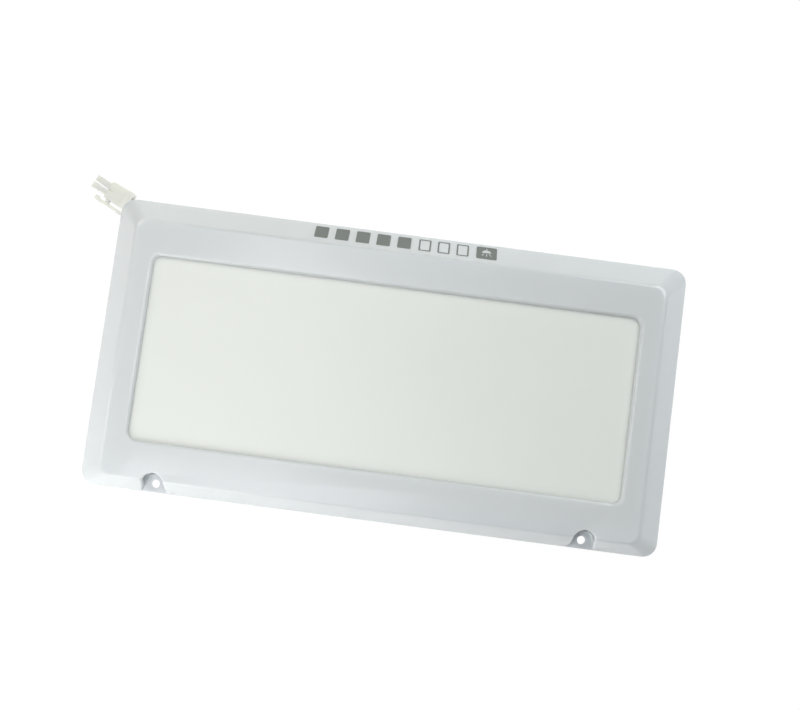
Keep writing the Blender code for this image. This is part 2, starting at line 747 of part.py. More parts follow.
def leads():
    """The two wires: from the board to the grommet, and from the grommet to the plug."""
    inner_end = CASE_Y + 1.2 * MM
    outer_start = CASE_Y + 1.7 * MM + GAP
    table = WIRE / 2
    edge = BOARD_ROWS["upper"] + BOARD_H / 2 + GAP
    for side, name in ((-1, "inner_lead_1"), (1, "inner_lead_2")):
        x = GROMMET_X + side * WIRE_PITCH / 2
        route = [
            (x, edge, BOARD_Z + BOARD_THICK / 2),
            (x, edge + 6 * MM, BOARD_Z),
            (x + side * 0.8 * MM, edge + 18 * MM, 4.3 * MM),
            (x + side * 0.4 * MM, inner_end - 12 * MM, 5.4 * MM),
            (x, inner_end - 4 * MM, GROMMET_Z),
            (x, inner_end, GROMMET_Z),
        ]
        wire(name, route, WIRE_DARK if side < 0 else WIRE_LIGHT)
    for side, name, mat, along in (
        (-1, "lead_wire_dark", WIRE_DARK, OUTER_ROUTE),
        (1, "lead_wire_light", WIRE_LIGHT, INNER_ROUTE),
    ):
        x = GROMMET_X - side * WIRE_PITCH / 2
        rear = side * PLUG_PITCH / 2
        mid = PLUG_THICK / 2
        route = [
            (x, outer_start, GROMMET_Z),
            (x, outer_start + 2.6 * MM, GROMMET_Z - 0.2 * MM),
            *[(px * MM, py * MM, max(table, pz * MM)) for px, py, pz in along],
            plug_point(-9 * MM, rear, 1.3 * MM),
            plug_point(-4.5 * MM, rear, mid - 0.5 * MM),
            plug_point(-2 * MM, rear, mid),
            plug_point(-GAP, rear, mid),
        ]
        wire(name, route, mat)


def strips():
    """Both LED strips with what is soldered and screwed to them."""
    top = BOARD_Z + BOARD_THICK + SEAT
    for row, y in BOARD_ROWS.items():
        board("led_board_" + row, y)
    spots = [(x, y, top) for y in BOARD_ROWS.values() for x in LED_X]
    copies(led_mesh(), LED_BODY, [f"led_{i + 1:02d}" for i in range(len(spots))], spots)
    chip = boxes([((-1.6 * MM, -0.8 * MM, 0), (1.6 * MM, 0.8 * MM, 0.6 * MM))])
    spots = [(x * MM, y, top) for y in BOARD_ROWS.values() for x in (-38, 38)]
    copies(chip, CERAMIC, [f"resistor_{i + 1}" for i in range(4)], spots)
    spots = [
        (x, y, BOARD_Z + BOARD_THICK + GAP)
        for y in BOARD_ROWS.values()
        for x in (-BOARD_SCREW_X, BOARD_SCREW_X)
    ]
    mesh = screw_mesh(2.5 * MM, 1.5 * MM, 1.1 * MM, 4.6 * MM)
    copies(mesh, STEEL, [f"board_screw_{i + 1}" for i in range(4)], spots)
    dome = [(0, 0.8 * MM), (0.5 * MM, 0.65 * MM), (0.85 * MM, 0.3 * MM), (1 * MM, 0), (0, 0)]
    edge = BOARD_ROWS["upper"] + BOARD_H / 2 - 1.3 * MM
    spots = [(GROMMET_X + side * WIRE_PITCH / 2, edge, top) for side in (-1, 1)]
    copies(turned(dome, 12), SOLDER, ["solder_joint_1", "solder_joint_2"], spots)
    start = BOARD_ROWS["upper"] - BOARD_H / 2 - GAP
    end = BOARD_ROWS["lower"] + BOARD_H / 2 + GAP
    for i, x in enumerate((104 * MM, 109 * MM)):
        middle = (x + MM, (start + end) / 2, 4 * MM)
        z = BOARD_Z + BOARD_THICK / 2
        mat = WIRE_DARK if i else WIRE_LIGHT
        wire(f"link_wire_{i + 1}", [(x, start, z), middle, (x, end, z)], mat)


def case_screws():
    """Screws from behind, heads sunk in the case, shanks up in the bezel's columns."""
    mesh = screw_mesh(2.6 * MM, 1.8 * MM, 1.45 * MM, 9.5 * MM)
    for i, (x, y) in enumerate(CASE_SCREWS_TOP + CASE_SCREWS_LOW):
        obj = place(f"case_screw_{i + 1}", mesh, mat=STEEL)
        obj.location = (x, y, 3.2 * MM - GAP)
        obj.rotation_euler.x = math.pi


bezel()
diffuser()
reflector()
rear_case()
strips()
case_screws()
grommet()
plug()
latch()
leads()
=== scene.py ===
import math

import bmesh
import bpy
from mathutils import Matrix, Vector


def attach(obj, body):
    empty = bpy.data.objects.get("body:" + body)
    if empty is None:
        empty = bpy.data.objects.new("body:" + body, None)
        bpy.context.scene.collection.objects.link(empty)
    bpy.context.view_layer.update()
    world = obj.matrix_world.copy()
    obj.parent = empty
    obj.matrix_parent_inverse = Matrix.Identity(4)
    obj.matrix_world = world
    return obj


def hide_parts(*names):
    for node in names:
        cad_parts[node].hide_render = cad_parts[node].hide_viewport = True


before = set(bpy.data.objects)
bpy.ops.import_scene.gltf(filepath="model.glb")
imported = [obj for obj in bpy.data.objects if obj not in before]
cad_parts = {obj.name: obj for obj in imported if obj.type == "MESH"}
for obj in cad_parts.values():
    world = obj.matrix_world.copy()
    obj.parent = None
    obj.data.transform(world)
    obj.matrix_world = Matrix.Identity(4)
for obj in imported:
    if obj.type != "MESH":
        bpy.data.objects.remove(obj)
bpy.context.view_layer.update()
scene = bpy.context.scene
scene.view_settings.view_transform = "Standard"
mm = 0.001
print("frame loaded:", len(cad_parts), "nodes")


def addPiece(name, mesh, body="root", replaces=(), material=None):
    obj = bpy.data.objects.new(name, mesh)
    scene.collection.objects.link(obj)
    if material:
        mesh.materials.clear()
        mesh.materials.append(material)
    mesh.shade_smooth()
    mesh.set_sharp_from_angle(angle=math.radians(32))
    return settle(obj, body, replaces)


def settle(obj, body, replaces):
    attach(obj, body)
    if replaces:
        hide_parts(*replaces)
    return obj


def meshOf(bm, weld=0.0):
    if weld:
        bmesh.ops.remove_doubles(bm, verts=bm.verts, dist=weld)
    bmesh.ops.recalc_face_normals(bm, faces=bm.faces)
    mesh = bpy.data.meshes.new("shape")
    bm.to_mesh(mesh)
    bm.free()
    return mesh


def loose(mesh):
    obj = bpy.data.objects.new("loose", mesh)
    scene.collection.objects.link(obj)
    return obj


def baked(obj):
    # the object's mesh with its modifiers, in world space, and the object gone
    bpy.context.view_layer.update()
    mesh = bpy.data.meshes.new_from_object(obj.evaluated_get(bpy.context.evaluated_depsgraph_get()))
    mesh.transform(obj.matrix_world)
    bpy.data.objects.remove(obj)
    return mesh


def carve(mesh, steps):
    # steps are ("DIFFERENCE" or "UNION", mesh), done in order
    obj = loose(mesh)
    tools = []
    for kind, other in steps:
        tool = loose(other)
        tools.append(tool)
        change = obj.modifiers.new(kind.lower(), "BOOLEAN")
        change.operation = kind
        change.solver = "EXACT"
        change.object = tool
    result = baked(obj)
    for tool in tools:
        bpy.data.objects.remove(tool)
    return result


def roundEdges(mesh, width, segments=2, angle=38):
    obj = loose(mesh)
    soft = obj.modifiers.new("soft", "BEVEL")
    soft.width = width
    soft.segments = segments
    soft.limit_method = "ANGLE"
    soft.angle_limit = math.radians(angle)
    soft.harden_normals = False
    return baked(obj)


def boxMesh(*pairs):
    bm = bmesh.new()
    for low, high in pairs:
        made = bmesh.ops.create_cube(bm, size=1)["verts"]
        bmesh.ops.scale(bm, vec=[b - a for a, b in zip(low, high)], verts=made)
        bmesh.ops.translate(bm, vec=[(a + b) / 2 for a, b in zip(low, high)], verts=made)
    return meshOf(bm)


def rodMesh(spots, low, high, radius, topRadius=None, sides=40):
    bm = bmesh.new()
    for x, y in spots:
        made = bmesh.ops.create_cone(
            bm, cap_ends=True, segments=sides, radius1=radius,
            radius2=radius if topRadius is None else topRadius, depth=high - low,
        )["verts"]
        bmesh.ops.translate(bm, vec=(x, y, (low + high) / 2), verts=made)
    return meshOf(bm)


def arcPoints(x, y, radius, start, end, steps):
    turns = [math.radians(start + (end - start) * i / steps) for i in range(steps + 1)]
    return [(x + radius * math.cos(a), y + radius * math.sin(a)) for a in turns]


def roundedBox(x0, x1, y0, y1, radius, steps=6):
    return [
        *arcPoints(x1 - radius, y1 - radius, radius, 0, 90, steps),
        *arcPoints(x0 + radius, y1 - radius, radius, 90, 180, steps),
        *arcPoints(x0 + radius, y0 + radius, radius, 180, 270, steps),
        *arcPoints(x1 - radius, y0 + radius, radius, 270, 360, steps),
    ]


def plateMesh(outlines, low, high):
    # flat outlines filled between two heights, an outline inside another is a hole
    curve = bpy.data.curves.new("outline", "CURVE")
    curve.dimensions = "2D"
    curve.fill_mode = "BOTH"
    curve.extrude = (high - low) / 2
    for outline in outlines:
        line = curve.splines.new("POLY")
        line.points.add(len(outline) - 1)
        for point, (x, y) in zip(line.points, outline):
            point.co = (x, y, 0, 1)
        line.use_cyclic_u = True
    obj = bpy.data.objects.new("outline", curve)
    scene.collection.objects.link(obj)
    obj.location.z = (low + high) / 2
    mesh = baked(obj)
    bm = bmesh.new()
    bm.from_mesh(mesh)
    return meshOf(bm, weld=0.0005 * mm)


def roundedPath(corners, closed=True, steps=5, guard=0.22 * mm):
    # corners are (inset, height, corner radius, cut back): each is blended over its cut back
    count = len(corners)
    path = []
    for i, (inset, z, radius, back) in enumerate(corners):
        here = Vector((inset, z, radius))
        if not closed and i in (0, count - 1):
            path.append(here)
            continue
        before = Vector(corners[i - 1][:3]) - here
        after = Vector(corners[(i + 1) % count][:3]) - here
        a = here + before * (back / before.length)
        b = here + after * (back / after.length)
        path.append(a + before * (guard / before.length))
        for j in range(steps + 1):
            t = j / steps
            path.append(a * (1 - t) ** 2 + here * 2 * t * (1 - t) + b * t * t)
        path.append(b + after * (guard / after.length))
    return path


def rimRing(sides, halfW, halfH, steps):
    # one loop round the panel from its (inset, height, corner radius) on right, top, left and low side
    right, top, left, low = sides
    corners = (
        (halfW, halfH, 0, right, top),
        (-halfW, halfH, 90, top, left),
        (-halfW, -halfH, 180, left, low),
        (halfW, -halfH, 270, low, right),
    )
    points = []
    for x, y, start, first, second in corners:
        radius = (first.z + second.z) / 2
        across = first if start in (0, 180) else second
        upward = second if start in (0, 180) else first
        cx = x - math.copysign(across.x + radius, x)
        cy = y - math.copysign(upward.x + radius, y)
        for i in range(steps + 1):
            t = i / steps
            a = math.radians(start + 90 * t)
            blend = t * t * (3 - 2 * t)
            z = first.y + (second.y - first.y) * blend
            points.append(Vector((cx + radius * math.cos(a), cy + radius * math.sin(a), z)))
    return points


def skin(loops, wrap=False, capped=False):
    bm = bmesh.new()
    rows = [[bm.verts.new(p) for p in loop] for loop in loops]
    pairs = list(zip(rows, rows[1:]))
    if wrap:
        pairs.append((rows[-1], rows[0]))
    for below, above in pairs:
        for i in range(len(below)):
            j = (i + 1) % len(below)
            bm.faces.new((below[i], below[j], above[j], above[i]))
    if capped:
        bm.faces.new(rows[0])
        bm.faces.new(rows[-1])
    return meshOf(bm)


def turnedMesh(profile, sides=40):
    # (radius, z) pairs from top to bottom, turned round Z
    loops = []
    for radius, z in profile:
        angles = [2 * math.pi * i / sides for i in range(sides)]
        loops.append([Vector((radius * math.cos(a), radius * math.sin(a), z)) for a in angles])
    bm = bmesh.new()
    rows = [[bm.verts.new(p) for p in loop] for loop in loops]
    for below, above in zip(rows, rows[1:]):
        for i in range(sides):
            j = (i + 1) % sides
            bm.faces.new((below[i], below[j], above[j], above[i]))
    bmesh.ops.holes_fill(bm, edges=bm.edges)
    return meshOf(bm, weld=0.0005 * mm)


def nodeIn(tree, kind, place, **values):
    made = tree.nodes.new(kind)
    made.location = place
    for key, value in values.items():
        if key in made.inputs:
            made.inputs[key].default_value = value
        else:
            setattr(made, key, value)
    return made


def newGroup(name, inputs, outputs):
    group = bpy.data.node_groups.new(name, "ShaderNodeTree")
    for label, value in inputs:
        socket = group.interface.new_socket(label, in_out="INPUT", socket_type="NodeSocketFloat")
        socket.default_value = value
    for label, kind in outputs:
        group.interface.new_socket(label, in_out="OUTPUT", socket_type=kind)
    start = nodeIn(group, "NodeGroupInput", (-900, 0))
    end = nodeIn(group, "NodeGroupOutput", (700, 0))
    return group, start, end


def mathNode(group, kind, place, a, b=None, clamp=False):
    made = nodeIn(group, "ShaderNodeMath", place, operation=kind, use_clamp=clamp)
    for socket, value in zip(made.inputs, (a, b)):
        if value is None:
            continue
        if isinstance(value, (int, float)):
            socket.default_value = value
        else:
            group.links.new(value, socket)
    return made.outputs[0]


def noiseNode(group, place, vector, scale, detail, rough=0.5):
    made = nodeIn(group, "ShaderNodeTexNoise", place)
    made.inputs["Detail"].default_value = detail
    made.inputs["Roughness"].default_value = rough
    group.links.new(vector, made.inputs["Vector"])
    if isinstance(scale, (int, float)):
        made.inputs["Scale"].default_value = scale
    else:
        group.links.new(scale, made.inputs["Scale"])
    return made.outputs["Fac"]


def spread(group, place, value, low, high, toLow, toHigh):
    made = nodeIn(group, "ShaderNodeMapRange", place)
    for label, number in (("From Min", low), ("From Max", high), ("To Min", toLow), ("To Max", toHigh)):
        if isinstance(number, (int, float)):
            made.inputs[label].default_value = number
        else:
            group.links.new(number, made.inputs[label])
    group.links.new(value, made.inputs["Value"])
    return made.outputs["Result"]


def mouldSkinGroup():
    # spark-eroded mould grain, slow colour drift and gloss drift of moulded plastic
    group, start, end = newGroup(
        "mouldSkin",
        [("Grain Per Metre", 4000), ("Drift Per Metre", 22), ("Colour Drift", 0.02), ("Gloss Drift", 0.05)],
        [("Tone", "NodeSocketFloat"), ("Gloss", "NodeSocketFloat"), ("Height", "NodeSocketFloat")],
    )
    where = nodeIn(group, "ShaderNodeTexCoord", (-900, -300)).outputs["Object"]
    grain = noiseNode(group, (-500, 200), where, start.outputs["Grain Per Metre"], 3, 0.55)
    drift = noiseNode(group, (-500, -50), where, start.outputs["Drift Per Metre"], 2)
    finer = mathNode(group, "MULTIPLY", (-700, -300), start.outputs["Drift Per Metre"], 9)
    speck = noiseNode(group, (-500, -300), where, finer, 4, 0.6)
    up = mathNode(group, "ADD", (-100, -50), start.outputs["Colour Drift"], 1)
    down = mathNode(group, "SUBTRACT", (-100, -150), 1, start.outputs["Colour Drift"])
    tone = spread(group, (100, 0), drift, 0.3, 0.7, down, up)
    both = mathNode(group, "ADD", (-100, -300), speck, drift)
    minus = mathNode(group, "MULTIPLY", (-100, -400), start.outputs["Gloss Drift"], -1)
    gloss = spread(group, (100, -300), both, 0.7, 1.3, minus, start.outputs["Gloss Drift"])
    group.links.new(tone, end.inputs["Tone"])
    group.links.new(gloss, end.inputs["Gloss"])
    group.links.new(grain, end.inputs["Height"])
    return group


def handlingGroup():
    # faint wiped smears and settled dust specks
    group, start, end = newGroup(
        "handling",
        [("Smear Per Metre", 60), ("Smear Amount", 0.5), ("Dust Per Metre", 900), ("Dust Amount", 0.3)],
        [("Smear", "NodeSocketFloat"), ("Dust", "NodeSocketFloat")],
    )
    where = nodeIn(group, "ShaderNodeTexCoord", (-900, -300)).outputs["Object"]
    smear = noiseNode(group, (-500, 200), where, start.outputs["Smear Per Metre"], 5, 0.65)
    smear = spread(group, (-200, 200), smear, 0.52, 0.75, 0, start.outputs["Smear Amount"])
    cells = nodeIn(group, "ShaderNodeTexVoronoi", (-500, -200))
    group.links.new(where, cells.inputs["Vector"])
    group.links.new(start.outputs["Dust Per Metre"], cells.inputs["Scale"])
    near = spread(group, (-200, -200), cells.outputs["Distance"], 0.02, 0.16, 1, 0)
    sieve = nodeIn(group, "ShaderNodeSeparateColor", (-200, -400))
    group.links.new(cells.outputs["Color"], sieve.inputs["Color"])
    rare = mathNode(group, "GREATER_THAN", (0, -400), sieve.outputs["Red"], 0.86)
    dust = mathNode(group, "MULTIPLY", (100, -200), near, rare)
    dust = mathNode(group, "MULTIPLY", (300, -200), dust, start.outputs["Dust Amount"])
    group.links.new(smear, end.inputs["Smear"])
    group.links.new(dust, end.inputs["Dust"])
    return group


mouldSkin = mouldSkinGroup()
handling = handlingGroup()


def placeGroup(tree, group, place, values):
    made = nodeIn(tree, "ShaderNodeGroup", place)
    made.node_tree = group
    for label, value in values.items():
        made.inputs[label].default_value = value
    return made


def finishOf(name, look):
    # a moulded or painted finish: base colour, roughness, grain, drift, smears and dust
    material = bpy.data.materials.new(name)
    material.use_nodes = True
    tree = material.node_tree
    shader = tree.nodes["Principled BSDF"]
    for label, value in look.get("shader", {}).items():
        shader.inputs[label].default_value = value
    grain = placeGroup(tree, mouldSkin, (-900, 100), {
        "Grain Per Metre": look.get("grain", 4000), "Drift Per Metre": look.get("drift", 22),
        "Colour Drift": look.get("colourDrift", 0.015), "Gloss Drift": look.get("glossDrift", 0.04),
    })
    marks = placeGroup(tree, handling, (-900, -250), {
        "Smear Per Metre": look.get("smear", 60), "Smear Amount": look.get("smearAmount", 0.3),
        "Dust Per Metre": look.get("dust", 900), "Dust Amount": look.get("dustAmount", 0.2),
    })
    tint = nodeIn(tree, "ShaderNodeMix", (-600, 200), data_type="RGBA", blend_type="MULTIPLY")
    tint.inputs["Factor"].default_value = 1
    tint.inputs["A"].default_value = (*look["colour"], 1)
    tree.links.new(grain.outputs["Tone"], tint.inputs["B"])
    dusty = nodeIn(tree, "ShaderNodeMix", (-350, 200), data_type="RGBA", blend_type="MIX")
    dusty.inputs["B"].default_value = (*look.get("dustColour", (0.5, 0.48, 0.44)), 1)
    tree.links.new(marks.outputs["Dust"], dusty.inputs["Factor"])
    tree.links.new(tint.outputs["Result"], dusty.inputs["A"])
    tree.links.new(dusty.outputs["Result"], shader.inputs["Base Color"])
    rough = mathNode(tree, "ADD", (-600, -50), grain.outputs["Gloss"], look["roughness"])
    smeary = mathNode(tree, "MULTIPLY", (-600, -200), marks.outputs["Smear"], 0.12)
    rough = mathNode(tree, "ADD", (-350, -100), rough, smeary, clamp=True)
    tree.links.new(rough, shader.inputs["Roughness"])
    bump = nodeIn(tree, "ShaderNodeBump", (-350, -350))
    bump.inputs["Strength"].default_value = look.get("bump", 0.1)
    bump.inputs["Distance"].default_value = look.get("bumpDepth", 0.02 * mm)
    tree.links.new(grain.outputs["Height"], bump.inputs["Height"])
    tree.links.new(bump.outputs["Normal"], shader.inputs["Normal"])
    return material


bezelLook = {
    "colour": (0.648, 0.684, 0.702), "roughness": 0.25, "grain": 5200, "drift": 14, "colourDrift": 0.008,
    "glossDrift": 0.006, "bump": 0.12, "bumpDepth": 0.03 * mm, "smear": 40, "smearAmount": 0.04,
    "dustAmount": 0.12,
    "shader": {
        "Specular IOR Level": 0.5, "Coat Weight": 0.2, "Coat Roughness": 0.1, "Subsurface Weight": 0.5,
        "Subsurface Radius": (0.0044, 0.0044, 0.0048), "Subsurface Scale": 1.0,
    },
}
opalLook = {
    "colour": (0.765, 0.802, 0.766), "roughness": 0.42, "grain": 7000, "drift": 11, "colourDrift": 0.012,
    "glossDrift": 0.03, "bump": 0.1, "bumpDepth": 0.02 * mm, "smear": 30, "smearAmount": 0.5,
    "dustAmount": 0.16,
    "shader": {
        "Subsurface Weight": 0.25, "Subsurface Radius": (0.004, 0.0042, 0.0038), "Subsurface Scale": 1.0,
    },
}
inkLook = {
    "colour": (0.175, 0.193, 0.182), "roughness": 0.45, "grain": 3000, "bump": 0.2, "bumpDepth": 0.02 * mm,
    "colourDrift": 0.05, "dustAmount": 0.1,
}
nylonLook = {
    "colour": (0.745, 0.76, 0.715), "roughness": 0.36, "grain": 3500, "drift": 60, "colourDrift": 0.02,
    "bump": 0.15, "bumpDepth": 0.03 * mm, "dustAmount": 0.1,
    "shader": {
        "Subsurface Weight": 0.5, "Subsurface Radius": (0.004, 0.0038, 0.003), "Subsurface Scale": 0.8,
    },
}
caseLook = {
    "colour": (0.7, 0.71, 0.69), "roughness": 0.46, "grain": 3200, "drift": 16, "colourDrift": 0.012,
    "bump": 0.25, "bumpDepth": 0.04 * mm, "smearAmount": 0.5, "dustAmount": 0.3,
}
trayLook = {"colour": (0.85, 0.85, 0.84), "roughness": 0.5, "grain": 3600, "bump": 0.1}
rubberLook = {
    "colour": (0.022, 0.022, 0.024), "roughness": 0.68, "grain": 2600, "bump": 0.3, "colourDrift": 0.2,
    "dustAmount": 0.5,
}
darkWireLook = {
    "colour": (0.02, 0.022, 0.03), "roughness": 0.42, "grain": 1800, "drift": 90, "colourDrift": 0.15,
    "bump": 0.12, "dustAmount": 0.4,
}
lightWireLook = {
    "colour": (0.72, 0.72, 0.7), "roughness": 0.42, "grain": 1800, "drift": 90, "colourDrift": 0.03,
    "bump": 0.12, "dustAmount": 0.3,
}
steelLook = {
    "colour": (0.62, 0.62, 0.6), "roughness": 0.3, "grain": 2600, "drift": 300, "colourDrift": 0.06,
    "glossDrift": 0.1, "bump": 0.2, "dustAmount": 0.2, "shader": {"Metallic": 1.0},
}
tinLook = {
    "colour": (0.66, 0.63, 0.55), "roughness": 0.28, "grain": 3000, "drift": 500, "colourDrift": 0.06,
    "glossDrift": 0.08, "bump": 0.15, "shader": {"Metallic": 1.0},
}
solderLook = {
    "colour": (0.7, 0.7, 0.71), "roughness": 0.24, "grain": 900, "bump": 0.4, "glossDrift": 0.1,
    "shader": {"Metallic": 1.0},
}
boardLook = {
    "colour": (0.8, 0.82, 0.79), "roughness": 0.32, "grain": 2200, "bump": 0.2, "dustAmount": 0.2,
}
ledLook = {"colour": (0.82, 0.78, 0.5), "roughness": 0.35, "grain": 4000, "bump": 0.15}
chipLook = {"colour": (0.02, 0.02, 0.022), "roughness": 0.38, "grain": 5000, "bump": 0.3}

bezelFinish = finishOf("bezelGrey", bezelLook)
opalFinish = finishOf("opalSheet", opalLook)
inkFinish = finishOf("padPrintInk", inkLook)
nylonFinish = finishOf("naturalNylon", nylonLook)
caseFinish = finishOf("caseWhite", caseLook)
trayFinish = finishOf("trayWhite", trayLook)
rubberFinish = finishOf("grommetRubber", rubberLook)
darkWireFinish = finishOf("darkWirePvc", darkWireLook)
lightWireFinish = finishOf("lightWirePvc", lightWireLook)
steelFinish = finishOf("zincSteel", steelLook)
tinFinish = finishOf("tinnedBrass", tinLook)
solderFinish = finishOf("solder", solderLook)
boardFinish = finishOf("boardMask", boardLook)
ledFinish = finishOf("ledPackage", ledLook)
chipFinish = finishOf("chipCeramic", chipLook)
print("materials made")

# camera first, it looks almost straight down on the window
cameraView = {
    "lens": 50, "sensor": 36, "place": (0.010684, -0.035341, 0.598370), "turn": (4.62314, -0.13430, 7.49219),
}
cameraData = bpy.data.cameras.new("camera")
cameraData.lens = cameraView["lens"]
cameraData.sensor_width = cameraView["sensor"]
cameraData.clip_start = 0.01
cameraObject = bpy.data.objects.new("camera", cameraData)
cameraObject.location = cameraView["place"]
cameraObject.rotation_euler = [math.radians(a) for a in cameraView["turn"]]
scene.collection.objects.link(cameraObject)
scene.camera = cameraObject
print("camera placed")

# the two wires of the lead, from the grommet to the plug
plugSpot = {"rear": (-150.2 * mm, 75.4 * mm), "turn": 154.5, "pitch": 4.15 * mm, "middle": 2.7 * mm}
leadSize = {
    "diameter": 1.6 * mm, "grommetX": -20 * mm, "caseY": 62.7 * mm, "grommetZ": 6.2 * mm,
    "pitch": 2.6 * mm, "spacing": 4 * mm,
}
darkRoute = [
    (-19.9, 70.4, 5), (-24, 73.4, 3.6), (-32, 73.6, 1.6), (-44, 72.3, 0.8), (-58, 71.2, 0.8),
    (-72, 71.9, 0.8), (-86, 72.8, 0.8), (-100, 72.2, 0.8), (-114, 71.4, 0.8), (-126, 72.3, 0.8),
]
lightRoute = [
    (-22.8, 69.4, 4.9), (-26.6, 70.4, 3.4), (-33, 70.1, 1.6), (-44, 69.4, 0.8), (-58, 68.6, 0.8),
    (-72, 69.1, 0.8), (-86, 70.1, 0.8), (-100, 69.6, 0.8), (-114, 68.7, 0.8), (-126, 68.9, 0.8),
]


def plugPoint(along, beside, z):
    a = math.radians(plugSpot["turn"])
    x, y = plugSpot["rear"]
    return Vector((
        x + along * math.cos(a) - beside * math.sin(a), y + along * math.sin(a) + beside * math.cos(a), z,
    ))


def smoothLine(route, spacing):
    # evenly spaced points on a smooth curve through the route
    knots = [Vector(p) for p in route]
    knots = [2 * knots[0] - knots[1], *knots, 2 * knots[-1] - knots[-2]]
    fine = []
    for a, b, c, d in zip(knots, knots[1:], knots[2:], knots[3:]):
        for i in range(24):
            t = i / 24
            fine.append(0.5 * (
                2 * b + (c - a) * t + (2 * a - 5 * b + 4 * c - d) * t**2 + (3 * b - a - 3 * c + d) * t**3
            ))
    fine.append(knots[-2])
    length = sum((q - p).length for p, q in zip(fine, fine[1:]))
    count = round(length / spacing)
    points, walked = [fine[0]], 0.0
    for p, q in zip(fine, fine[1:]):
        walked += (q - p).length
        while walked >= len(points) * length / count and len(points) < count:
            back = (walked - len(points) * length / count) / (q - p).length
            points.append(q.lerp(p, back))
    points.append(fine[-1])
    return points, length


def wirePiece(name, points, finish, node):
    curve = bpy.data.curves.new(name, "CURVE")
    curve.dimensions = "3D"
    curve.bevel_depth = leadSize["diameter"] / 2
    curve.bevel_resolution = 6
    curve.use_fill_caps = True
    line = curve.splines.new("POLY")
    line.points.add(len(points) - 1)
    for point, spot in zip(line.points, points):
        point.co = (*spot, 1)
    line.use_smooth = True
    curve.materials.append(finish)
    obj = bpy.data.objects.new(name, curve)
    scene.collection.objects.link(obj)
    return settle(obj, "root", [node])


def leadPoints(side, along):
    x = leadSize["grommetX"] - side * leadSize["pitch"] / 2
    start = leadSize["caseY"] + 2 * mm
    rear = side * plugSpot["pitch"] / 2
    middle = plugSpot["middle"]
    route = [
        (x, start, leadSize["grommetZ"]),
        (x, start + 2.6 * mm, leadSize["grommetZ"] - 0.2 * mm),
        *[(px * mm, py * mm, pz * mm) for px, py, pz in along],
        plugPoint(-9 * mm, rear, 1.3 * mm),
        plugPoint(-4.5 * mm, rear, middle - 0.5 * mm),
        plugPoint(-2 * mm, rear, middle),
        plugPoint(-0.3 * mm, rear, middle),
    ]
    return smoothLine(route, leadSize["spacing"])


darkPoints, darkLength = leadPoints(-1, darkRoute)
lightPoints, lightLength = leadPoints(1, lightRoute)
darkWire = wirePiece("darkWire", darkPoints, darkWireFinish, "lead_wire_dark")
lightWire = wirePiece("lightWire", lightPoints, lightWireFinish, "lead_wire_light")
print("wires laid:", round(darkLength / mm, 1), "and", round(lightLength / mm, 1), "mm")

# plug and its latch, sizes along and beside its own middle line
plugSize = {
    "long": 13.5 * mm, "wide": 9.8 * mm, "flank": 0.2 * mm, "thick": 5.4 * mm, "prongLong": 9.3 * mm,
    "prongWide": 3.3 * mm, "prongThick": 3.6 * mm, "bore": 2 * mm,
}
latchSize = {
    "pivot": (10.9 * mm, 5.7 * mm), "thick": 3.2 * mm, "inner": 6.7 * mm, "outer": 8.45 * mm, "lug": 1.8 * mm,
}


def plugPlaced(mesh):
    turn = Matrix.Rotation(math.radians(plugSpot["turn"]), 4, "Z")
    mesh.transform(Matrix.Translation((*plugSpot["rear"], 0)) @ turn)
    return mesh


def plugBody():
    wide, thick, long = plugSize["wide"] / 2, plugSize["thick"], plugSize["long"]
    mid, flank = thick / 2, -wide - plugSize["flank"]
    outline = [
        (0.3 * mm, wide), (0, wide - 0.3 * mm), (0, flank - 0.1 * mm), (0.3 * mm, flank - 0.4 * mm),
        (1.9 * mm, flank - 0.4 * mm), (2.6 * mm, flank - 0.37 * mm), (4.4 * mm, flank - 0.23 * mm),
        (5.2 * mm, flank - 0.19 * mm), *arcPoints(long - 0.7 * mm, flank + 0.7 * mm, 0.7 * mm, 270, 360, 6),
        (long, wide - 0.3 * mm), (long - 0.3 * mm, wide),
    ]
    body = roundEdges(plateMesh([outline], 0, thick), 0.26 * mm, 3)
    steps = []
    pivot, lug = latchSize["pivot"], latchSize["lug"] / 2
    half = latchSize["thick"] / 2
    steps.append(("UNION", boxMesh(
        ((pivot[0] - lug, wide - mm, mid - half), (pivot[0] + lug, pivot[1] - 0.15 * mm, mid + half))
    )))
    for side in (-1, 1):
        y = side * plugSpot["pitch"] / 2
        w, h = plugSize["prongWide"] / 2, plugSize["prongThick"] / 2
        tip = long + plugSize["prongLong"]
        prong = boxMesh(((long - mm, y - w, mid - h), (tip, y + w, mid + h)))
        steps.append(("UNION", roundEdges(prong, 0.16 * mm, 3)))
    rounded = carve(body, steps)
    cuts = []
    for side in (-1, 1):
        y = side * plugSpot["pitch"] / 2
        bore = plugSize["bore"] / 2
        tip = long + plugSize["prongLong"]
        cuts.append(boxMesh(((4 * mm, y - bore, mid - bore), (tip + mm, y + bore, mid + bore))))
        reach = 1.1 * mm
        cuts.append(boxMesh(((-mm, y - reach, mid - reach), (5 * mm, y + reach, mid + reach))))
        window = 0.7 * mm  # where the pin's barb locks
        cuts.append(boxMesh(((7.4 * mm, y - window, -mm), (9.6 * mm, y + window, mid))))
    # shallow step across the upper face, ahead of the wire end
    reach = wide - 1.1 * mm
    cuts.append(boxMesh(((4.4 * mm, -reach, thick - 0.22 * mm), (4.8 * mm, reach, thick + mm))))
    cuts.append(boxMesh(((11.2 * mm, -0.35 * mm, thick - 0.5 * mm), (long + mm, 0.35 * mm, thick + mm))))
    mesh = carve(rounded, [("DIFFERENCE", c) for c in cuts])
    return plugPlaced(mesh)


